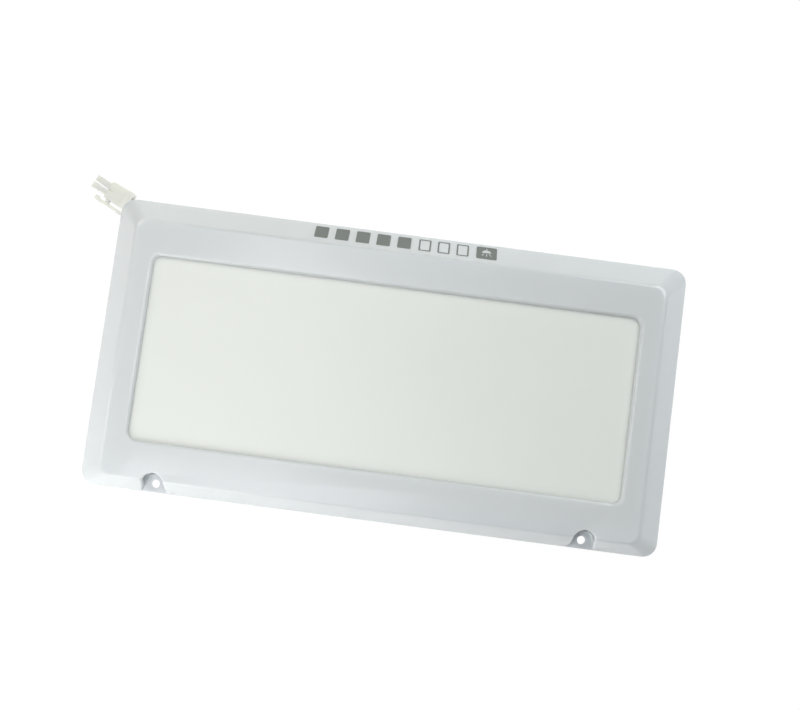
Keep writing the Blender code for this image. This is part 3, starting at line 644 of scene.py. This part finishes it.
def latchBody():
    inner, outer = latchSize["inner"], latchSize["outer"]
    px, py = latchSize["pivot"]
    neck, foot = latchSize["lug"] / 2 + 0.1 * mm, py + 0.15 * mm
    outline = [
        (1 * mm, outer - 0.45 * mm), (4 * mm, outer - 0.22 * mm), (7 * mm, outer - 0.08 * mm),
        (11 * mm, outer),
        *arcPoints(16.7 * mm, outer - 1.4 * mm, 1.4 * mm, 90, 0, 9),
        *arcPoints(17.1 * mm, inner + 0.15 * mm, 1 * mm, 0, -90, 7),
        (16.6 * mm, inner - 0.83 * mm), (16.3 * mm, inner - 0.7 * mm), (16.1 * mm, inner - 0.35 * mm),
        (15.9 * mm, inner), (px + neck + 0.5 * mm, inner), (px + neck, inner - 0.3 * mm),
        (px + neck - 0.3 * mm, foot), (px - neck + 0.3 * mm, foot), (px - neck, inner - 0.3 * mm),
        (px - neck - 0.5 * mm, inner), (6 * mm, inner), (3 * mm, inner - 0.06 * mm),
        (1 * mm, inner - 0.1 * mm),
    ]
    middle, half = plugSpot["middle"], latchSize["thick"] / 2
    body = plateMesh([outline], middle - half, middle + half)
    # finger ridges on the press tab
    ridgeLong, ridgeHalf = 0.35 * mm, 1.2 * mm
    low, high = outer - 0.6 * mm, outer + 0.02 * mm
    ridges = [
        ((x * mm, low, middle - ridgeHalf), (x * mm + ridgeLong, high, middle + ridgeHalf))
        for x in (1.5, 2.4, 3.3)
    ]
    body = roundEdges(body, 0.22 * mm, 3)
    return plugPlaced(carve(body, [("UNION", boxMesh(*ridges))]))


plugPiece = addPiece(
    "plugBody", plugBody(), replaces=["plug_housing"], material=nylonFinish
)
latchPiece = addPiece(
    "latchLever", latchBody(), body="latch", replaces=["plug_latch"], material=nylonFinish
)
print("plug made")

# bezel with its window and its two screw pockets
bezelSize = {
    "halfW": 152.5 * mm, "halfH": 76.65 * mm, "underZ": 8 * mm, "rimZ": 10 * mm, "faceZ": 21.4 * mm,
    "skin": 2.2 * mm, "land": 4 * mm, "slopeSkin": 2 * mm, "rimRadius": 7.8 * mm, "faceRadius": 6.4 * mm,
    "sideRun": 12.1 * mm, "lowRun": 6.2 * mm, "sideBlend": 1.6 * mm, "topBlend": 1.05 * mm,
    "lowBlend": 1.1 * mm,
    "windowSide": 23.8 * mm, "windowTop": 30.2 * mm, "windowLow": 26.1 * mm, "windowRadius": 4.6 * mm,
    "lipRun": 0.6 * mm, "lipBlend": 1.5 * mm, "cornerSteps": 18, "blendSteps": 8,
}
pocketSize = {
    "x": 112.7 * mm, "up": 4.5 * mm, "radius": 5.2 * mm, "flare": 7.4 * mm, "wall": 2 * mm, "draft": 0.8 * mm,
    "floorZ": 9.9 * mm, "hole": 4.4 * mm, "edge": 0.5 * mm,
}
columnSpots = [(x * mm, 56 * mm) for x in (-110, 0, 110)] + [(x * mm, -57.4 * mm) for x in (-98, 0, 98)]


def bezelSection(run, blend, windowIn):
    b = bezelSize
    rise = b["faceZ"] - b["rimZ"]
    foot = b["faceZ"] - b["skin"]
    skinAcross = b["slopeSkin"] / math.sin(math.atan2(rise, run))
    landZ = b["rimZ"] + (b["land"] - skinAcross) * rise / run
    hollowIn = run * (foot - b["rimZ"]) / rise + skinAcross
    inner = 4 * mm
    return roundedPath([
        (b["land"], b["underZ"], inner, 0.3 * mm),
        (0, b["underZ"], b["rimRadius"], 0.3 * mm),
        (0, b["rimZ"], b["rimRadius"], 0.3 * mm),
        (run, b["faceZ"], b["faceRadius"], blend),
        (windowIn - b["lipRun"], b["faceZ"], b["windowRadius"] + b["lipRun"], b["lipBlend"]),
        (windowIn, foot, b["windowRadius"], 0.12 * mm),
        (hollowIn, foot, inner, 0.3 * mm),
        (b["land"], landZ, inner, 0.3 * mm),
    ], steps=b["blendSteps"])


def pocketOutline(x, wall=0.0):
    p = pocketSize
    y = -bezelSize["halfH"] + p["up"]
    past = -bezelSize["halfH"] - 2 * mm
    flare = p["flare"] + wall
    return [*arcPoints(x, y, p["radius"] + wall, 0, 180, 36), (x - flare, past), (x + flare, past)]


def pocketSpace(x):
    # the walls lean out a little from the floor to the face
    p, b = pocketSize, bezelSize
    loops = []
    for z in (p["floorZ"], b["faceZ"] + mm):
        out = p["draft"] * (z - p["floorZ"]) / (b["faceZ"] - p["floorZ"])
        loops.append([Vector((px, py, z)) for px, py in pocketOutline(x, out)])
    return skin(loops, capped=True)


def softenPocketEdges(mesh):
    # rounds the edges where the pockets break out of the lower slope and the face
    p, b = pocketSize, bezelSize
    bm = bmesh.new()
    bm.from_mesh(mesh)
    chosen = []
    for edge in bm.edges:
        if len(edge.link_faces) != 2 or edge.calc_face_angle(0) < math.radians(24):
            continue
        spot = (edge.verts[0].co + edge.verts[1].co) / 2
        across = abs(abs(spot.x) - p["x"])
        if across > p["flare"] + 1.2 * mm or spot.y > -b["halfH"] + 11 * mm or spot.z < b["rimZ"] + 0.35 * mm:
            continue
        ups = [f.normal.z for f in edge.link_faces]
        if max(ups) > 0.25 and abs(min(ups)) < 0.2:
            chosen.append(edge)
    bmesh.ops.bevel(
        bm, geom=chosen, offset=p["edge"], offset_type="OFFSET", segments=3, profile=0.5,
        affect="EDGES", clamp_overlap=False,
    )
    return meshOf(bm)


def bezelMesh():
    b, p = bezelSize, pocketSize
    side = bezelSection(b["sideRun"], b["sideBlend"], b["windowSide"])
    top = bezelSection(b["sideRun"], b["topBlend"], b["windowTop"])
    low = bezelSection(b["lowRun"], b["lowBlend"], b["windowLow"])
    loops = [
        rimRing((s, t, s, l), b["halfW"], b["halfH"], b["cornerSteps"]) for s, t, l in zip(side, top, low)
    ]
    shell = skin(loops, wrap=True)
    steps = []
    for x in (-p["x"], p["x"]):
        # the pocket's own walls hang behind the slope, then its hollow is cut
        arch = pocketOutline(x, p["wall"])
        clipped = [(px, max(py, -b["halfH"] + 0.6 * mm)) for px, py in arch]
        steps.append(("UNION", plateMesh([clipped], b["underZ"], p["floorZ"] + 2.2 * mm)))
    for x in (-p["x"], p["x"]):
        steps.append(("DIFFERENCE", pocketSpace(x)))
        spot = (x, -b["halfH"] + p["up"])
        steps.append(("DIFFERENCE", rodMesh([spot], b["underZ"] - mm, p["floorZ"] + mm, p["hole"] / 2)))
    return carve(shell, steps)


bezelPiece = addPiece(
    "bezel", softenPocketEdges(bezelMesh()), replaces=["bezel_frame"], material=bezelFinish
)
print("bezel made:", len(bezelPiece.data.polygons), "faces")

opalSize = {"overlap": 3.4 * mm, "thick": 2 * mm, "top": 18.9 * mm, "radius": 6 * mm}


def opalMesh():
    b, o = bezelSize, opalSize
    sides = []
    for windowIn in (b["windowSide"], b["windowTop"], b["windowSide"], b["windowLow"]):
        out = windowIn - o["overlap"]
        sides.append(roundedPath([
            (out + 10 * mm, o["top"] - o["thick"], o["radius"], 0),
            (out, o["top"] - o["thick"], o["radius"], 0.25 * mm),
            (out, o["top"], o["radius"], 0.25 * mm),
            (out + 10 * mm, o["top"], o["radius"], 0),
        ], closed=False, steps=3))
    loops = [rimRing(four, b["halfW"], b["halfH"], 10) for four in zip(*sides)]
    return skin(loops, capped=True)


addPiece("opalWindow", opalMesh(), replaces=["diffuser_lens"], material=opalFinish)
print("window made")

# print on the upper slope: brightness bars and a lamp sign
printSize = {
    "low": 4.2 * mm, "high": 14 * mm, "solidX": -47.4 * mm, "solidWide": 7.2 * mm, "solidPitch": 11.05 * mm,
    "solid": 5, "openX": 8.2 * mm, "openWide": 6.5 * mm, "openPitch": 10.1 * mm, "open": 3,
    "stroke": 0.8 * mm,
    "round": 0.7 * mm, "iconX": (39 * mm, 49.9 * mm), "iconV": (4 * mm, 14.4 * mm), "ink": 0.03 * mm,
}


def slopePlaced(mesh):
    # x stays, y climbs from the crease to the rim, z stands off the slope
    b = bezelSize
    rise = b["faceZ"] - b["rimZ"]
    long = math.hypot(rise, b["sideRun"])
    up = Vector((0, b["sideRun"], -rise)) / long
    off = Vector((0, rise, b["sideRun"])) / long
    place = Matrix((
        (1, up.x, off.x, 0),
        (0, up.y, off.y, b["halfH"] - b["sideRun"]),
        (0, up.z, off.z, b["faceZ"]),
        (0, 0, 0, 1),
    ))
    mesh.transform(place)
    return mesh


def levelMarks():
    p = printSize
    outlines = []
    for i in range(p["solid"]):
        x = p["solidX"] + i * p["solidPitch"]
        outlines.append(roundedBox(x, x + p["solidWide"], p["low"], p["high"], p["round"]))
    for i in range(p["open"]):
        x = p["openX"] + i * p["openPitch"]
        s = p["stroke"]
        outlines.append(roundedBox(x, x + p["openWide"], p["low"], p["high"], p["round"]))
        inside = (x + s, x + p["openWide"] - s, p["low"] + s, p["high"] - s)
        outlines.append(roundedBox(*inside, p["round"] * 0.5))
    return slopePlaced(plateMesh(outlines, 0, p["ink"]))


def lampMark():
    p = printSize
    outlines = [roundedBox(*p["iconX"], *p["iconV"], 0.9 * mm)]
    x, v = sum(p["iconX"]) / 2, sum(p["iconV"]) / 2
    # a plain dome shade with three short rays under it
    dome = arcPoints(x, v + 0.1 * mm, 2.5 * mm, 0, 180, 20)
    outlines.append(dome)
    outlines.append(roundedBox(x - 0.35 * mm, x + 0.35 * mm, v + 2.9 * mm, v + 3.9 * mm, 0.2 * mm))
    for lean in (-32, 0, 32):
        a = math.radians(lean)
        way, side = Vector((math.sin(a), -math.cos(a))), Vector((math.cos(a), math.sin(a))) * 0.3 * mm
        start, end = Vector((x, v + 0.1 * mm)) + way * 0.8 * mm, Vector((x, v + 0.1 * mm)) + way * 3 * mm
        start += Vector((lean / 32 * 0.9 * mm, 0))
        end += Vector((lean / 32 * 0.9 * mm, 0))
        outlines.append([tuple(start + side), tuple(start - side), tuple(end - side), tuple(end + side)])
    return slopePlaced(plateMesh(outlines, 0, p["ink"]))


addPiece("levelMarks", levelMarks(), material=inkFinish)
addPiece("lampMark", lampMark(), material=inkFinish)
print("print made")

# rear case
caseSize = {
    "halfW": 138.5 * mm, "halfH": 62.7 * mm, "radius": 5 * mm, "wall": 1.8 * mm, "topZ": 16 * mm,
    "floor": 2.6 * mm, "edge": 0.9 * mm, "cellDeep": 1 * mm, "rib": 2.4 * mm, "cellsX": 134 * mm,
    "cellsY": 48 * mm, "cells": (6, 3), "tongueX": 70 * mm, "tongueW": 18 * mm, "tongueReach": 11.3 * mm,
    "tongueZ": (3 * mm, 5.4 * mm), "wellRadius": 3.1 * mm, "wellDeep": 3.2 * mm,
}


def cellMesh():
    # drafted cells between the ribs of the underside
    c = caseSize
    across, up = c["cells"]
    stepX = (2 * c["cellsX"] + c["rib"]) / across
    stepY = (2 * c["cellsY"] + c["rib"]) / up
    bm = bmesh.new()
    for i in range(across):
        for j in range(up):
            x0, y0 = -c["cellsX"] + i * stepX, -c["cellsY"] + j * stepY
            x1, y1 = x0 + stepX - c["rib"], y0 + stepY - c["rib"]
            rows = []
            for z, grow, radius in (
                (-1, 0.5, 1.6), (0, 0.26, 1.45), (0.12, 0.06, 1.3), (0.3, 0, 1.25), (0.72, -0.06, 1.2),
                (0.93, -0.18, 1.1), (1, -0.42, 0.95),
            ):
                out = grow * mm
                outline = roundedBox(x0 - out, x1 + out, y0 - out, y1 + out, radius * mm, 5)
                rows.append([bm.verts.new((px, py, z * c["cellDeep"])) for px, py in outline])
            for below, above in zip(rows, rows[1:]):
                for k in range(len(below)):
                    n = (k + 1) % len(below)
                    bm.faces.new((below[k], below[n], above[n], above[k]))
            bm.faces.new(rows[0])
            bm.faces.new(rows[-1])
    return meshOf(bm)


def caseMesh():
    c = caseSize
    path = roundedPath([
        (20 * mm, 0, c["radius"], 0),
        (0, 0, c["radius"], c["edge"]),
        (0, c["topZ"], c["radius"], 0.4 * mm),
        (c["wall"], c["topZ"], c["radius"] - c["wall"], 0.4 * mm),
        (c["wall"], c["floor"], c["radius"] - c["wall"], 0.5 * mm),
        (20 * mm, c["floor"], c["radius"] - c["wall"], 0),
    ], closed=False, steps=4, guard=0.15 * mm)
    loops = [rimRing((p, p, p, p), c["halfW"], c["halfH"], 8) for p in path]
    steps = []
    for x in (-c["tongueX"], c["tongueX"]):
        low, high = x - c["tongueW"] / 2, x + c["tongueW"] / 2
        tip = c["halfH"] + c["tongueReach"]
        y = c["halfH"]
        outline = [
            (low - 1.5 * mm, y - 0.9 * mm), (high + 1.5 * mm, y - 0.9 * mm), (high + 1.5 * mm, y),
            (high + 0.5 * mm, y + 0.45 * mm), (high, y + 1.5 * mm),
            *arcPoints(high - 4 * mm, tip - 4 * mm, 4 * mm, 0, 90, 10),
            *arcPoints(low + 4 * mm, tip - 4 * mm, 4 * mm, 90, 180, 10),
            (low, y + 1.5 * mm), (low - 0.5 * mm, y + 0.45 * mm), (low - 1.5 * mm, y),
        ]
        tongue = roundEdges(plateMesh([outline], *c["tongueZ"]), 0.35 * mm, 2, 60)
        steps.append(("UNION", tongue))
    steps.append(("DIFFERENCE", cellMesh()))
    steps.append(("DIFFERENCE", rodMesh(columnSpots, -mm, c["wellDeep"], c["wellRadius"])))
    wide = c["wellRadius"] + 0.8 * mm  # the mouth of each screw's well
    steps.append(("DIFFERENCE", rodMesh(columnSpots, -0.4 * mm, 0.4 * mm, wide, c["wellRadius"])))
    steps.append(("DIFFERENCE", rodMesh(columnSpots, 2 * mm, 8 * mm, 1.8 * mm)))
    low = (leadSize["grommetX"] - 4.3 * mm, c["halfH"] - 3 * mm, leadSize["grommetZ"] - 2.5 * mm)
    high = (leadSize["grommetX"] + 4.3 * mm, c["halfH"] + mm, leadSize["grommetZ"] + 2.5 * mm)
    steps.append(("DIFFERENCE", boxMesh((low, high))))
    marks = [(x * mm, y * mm) for x in (-112, -23, 23, 112) for y in (-32, 0, 32)]
    steps.append(("DIFFERENCE", rodMesh(marks, 0.5 * mm, c["cellDeep"] + 0.1 * mm, 2.5 * mm)))  # ejector pins
    return carve(skin(loops, capped=True), steps)


casePiece = addPiece("rearCase", caseMesh(), replaces=["rear_case"], material=caseFinish)
print("case made:", len(casePiece.data.polygons), "faces")

grommetSize = {"flange": 1.4 * mm, "gap": 0.3 * mm, "edge": 0.45 * mm}


def grommetMesh():
    g = grommetSize
    x, z = leadSize["grommetX"], leadSize["grommetZ"]
    inner = caseSize["halfH"] - caseSize["wall"] - g["gap"]
    outer = caseSize["halfH"] + g["gap"]

    def block(halfW, halfH, y0, y1):
        return boxMesh(((x - halfW, y0, z - halfH), (x + halfW, y1, z + halfH)))

    neck = block(4 * mm, 2.2 * mm, inner - mm, outer + mm)
    flanges = [
        roundEdges(block(5.3 * mm, 3.1 * mm, y0, y1), g["edge"], 4)
        for y0, y1 in ((inner - g["flange"], inner), (outer, outer + g["flange"]))
    ]
    steps = [("UNION", f) for f in flanges]
    for side in (-1, 1):
        hole = rodMesh([(0, 0)], inner - 3 * mm, outer + 3 * mm, leadSize["diameter"] / 2 + 0.08 * mm)
        shift = Matrix.Translation((x + side * leadSize["pitch"] / 2, 0, z))
        hole.transform(shift @ Matrix.Rotation(math.radians(-90), 4, "X"))
        steps.append(("DIFFERENCE", hole))
    return carve(neck, steps)


addPiece("wireGrommet", grommetMesh(), replaces=["wire_grommet"], material=rubberFinish)

caseScrewSize = {"head": 2.6 * mm, "high": 1.8 * mm, "shank": 1.45 * mm, "long": 9.5 * mm, "pitch": 1.1 * mm}


def screwMesh(s):
    head, high, shank, long = s["head"], s["high"], s["shank"], s["long"]
    profile = [(0.02 * head, high)]
    for i in range(1, 9):
        a = math.radians(90 * i / 8)
        profile.append((head * math.sin(a) ** 0.8, 0.22 * high + 0.78 * high * math.cos(a)))
    profile += [(head, 0.1 * high), (head * 0.97, 0), (shank, 0), (shank, -0.8 * mm)]
    z = -0.8 * mm
    while z - s["pitch"] > -long + 2.2 * mm:
        profile += [(0.8 * shank, z - 0.25 * s["pitch"]), (0.8 * shank, z - 0.5 * s["pitch"])]
        profile += [(shank, z - 0.78 * s["pitch"]), (0.8 * shank, z - s["pitch"])]
        z -= s["pitch"]
    profile += [(0.74 * shank, -long + 1.4 * mm), (0.02 * shank, -long)]
    cross = []
    for wide, tall in ((0.56 * head, 0.12 * head), (0.12 * head, 0.56 * head)):
        cross.append(boxMesh(((-wide, -tall, 0.42 * high), (wide, tall, 2 * high))))
    return carve(turnedMesh(profile), [("DIFFERENCE", c) for c in cross])


caseScrew = screwMesh(caseScrewSize)
for i, (x, y) in enumerate(columnSpots):
    mesh = caseScrew.copy()
    turn = Matrix.Rotation(math.pi, 4, "X") @ Matrix.Rotation(math.radians(17 + 37 * i), 4, "Z")
    mesh.transform(Matrix.Translation((x, y, 2.9 * mm)) @ turn)
    addPiece(f"caseScrew{i + 1}", mesh, replaces=[f"case_screw_{i + 1}"], material=steelFinish)
print("screws made")

# inner pieces keep their frame shapes
innerFinishes = {
    "reflector_tray": trayFinish, "led_board": boardFinish, "led_": ledFinish, "resistor": chipFinish,
    "solder_joint": solderFinish, "board_screw": steelFinish, "link_wire_1": lightWireFinish,
    "link_wire_2": darkWireFinish, "inner_lead_1": darkWireFinish, "inner_lead_2": lightWireFinish,
    "plug_terminal": tinFinish,
}
for nodeName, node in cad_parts.items():
    if node.hide_render:
        continue
    for start, finish in innerFinishes.items():
        if nodeName.startswith(start):
            node.data.materials.clear()
            node.data.materials.append(finish)
            break
    else:
        print("no finish for", nodeName)

# floor and light
studio = {
    "floorColour": (0.93, 0.93, 0.93), "floorGlow": 0.42, "floorSeen": 1.0, "floorShare": 0.92,
    "world": 0.12,
    "lights": {
        "upperRight": {"place": (0.6, 0.6, 0.7), "size": 0.7, "power": 6.4, "colour": (0.98, 1, 0.98)},
        "lowRight": {"place": (0.5, 0.13, 0.3), "size": 0.12, "power": 0.05, "colour": (0.78, 0.93, 1)},
        "crestTop": {"place": (0.22, 0.4, 0.4), "size": 0.1, "power": 0.045, "colour": (1, 0.85, 0.85)},
        "crestLeft": {
            "place": (-0.59, -0.065, 0.235), "size": 0.08, "power": 0.32, "colour": (0.99, 0.95, 1),
        },
        "lowerLeft": {"place": (-0.22, -0.32, 0.2), "size": 0.2, "power": 0.75, "colour": (0.99, 1, 0.965)},
        "upperLeft": {"place": (-0.35, 0.3, 0.3), "size": 0.25, "power": 0.54, "colour": (1, 0.95, 0.79)},
        "overLeft": {"place": (-0.1, 0.05, 0.42), "size": 0.15, "power": 0.23, "colour": (1, 0.97, 1)},
        "overLow": {"place": (-0.15, -0.25, 0.6), "size": 0.3, "power": 0.66, "colour": (1, 0.94, 0.99)},
        "overTop": {"place": (-0.05, 0.1, 0.85), "size": 0.4, "power": 0.2, "colour": (0.8, 1, 1)},
    },
}


def floorFinish():
    # seen directly the paper is evenly lit, and everything else sees it as matt and lit by the lamps
    material = bpy.data.materials.new("paperFloor")
    material.use_nodes = True
    tree = material.node_tree
    shader = tree.nodes["Principled BSDF"]
    shader.inputs["Base Color"].default_value = (*studio["floorColour"], 1)
    shader.inputs["Roughness"].default_value = 0.9
    shader.inputs["Specular IOR Level"].default_value = 0.1
    shader.inputs["Emission Color"].default_value = (1, 1, 1, 1)
    shader.inputs["Emission Strength"].default_value = studio["floorGlow"]
    even = nodeIn(tree, "ShaderNodeEmission", (0, -200))
    even.inputs["Strength"].default_value = studio["floorSeen"]
    path = nodeIn(tree, "ShaderNodeLightPath", (-500, -300))
    share = mathNode(tree, "MULTIPLY", (-250, -300), path.outputs["Is Camera Ray"], studio["floorShare"])
    mix = nodeIn(tree, "ShaderNodeMixShader", (200, 0))
    tree.links.new(share, mix.inputs["Fac"])
    tree.links.new(shader.outputs["BSDF"], mix.inputs[1])
    tree.links.new(even.outputs["Emission"], mix.inputs[2])
    tree.links.new(mix.outputs["Shader"], tree.nodes["Material Output"].inputs["Surface"])
    return material


bm = bmesh.new()
bmesh.ops.create_grid(bm, x_segments=8, y_segments=8, size=3)
floorMesh = meshOf(bm)
floor = bpy.data.objects.new("paperFloor", floorMesh)
floorMesh.materials.append(floorFinish())
floor.location.z = -0.05 * mm
scene.collection.objects.link(floor)

for name, light in studio["lights"].items():
    lamp = bpy.data.lights.new(name, "AREA")
    lamp.shape = "SQUARE"
    lamp.size = light["size"]
    lamp.energy = light["power"]
    lamp.color = light["colour"]
    obj = bpy.data.objects.new(name, lamp)
    obj.location = light["place"]
    aim = Vector(light.get("aim", (0, 0, 0))) - obj.location
    obj.rotation_euler = aim.to_track_quat("-Z", "Y").to_euler()
    obj.visible_camera = False
    scene.collection.objects.link(obj)

world = bpy.data.worlds.new("studioWorld")
world.use_nodes = True
world.node_tree.nodes["Background"].inputs["Color"].default_value = (1, 1, 1, 1)
# the backdrop is as white as the paper when seen directly, and dim as a source of light
path = nodeIn(world.node_tree, "ShaderNodeLightPath", (-700, 0))
extra = studio["floorSeen"] - studio["world"]
seen = mathNode(world.node_tree, "MULTIPLY", (-450, 0), path.outputs["Is Camera Ray"], extra)
seen = mathNode(world.node_tree, "ADD", (-200, 0), seen, studio["world"])
world.node_tree.links.new(seen, world.node_tree.nodes["Background"].inputs["Strength"])
scene.world = world
print("studio lit")
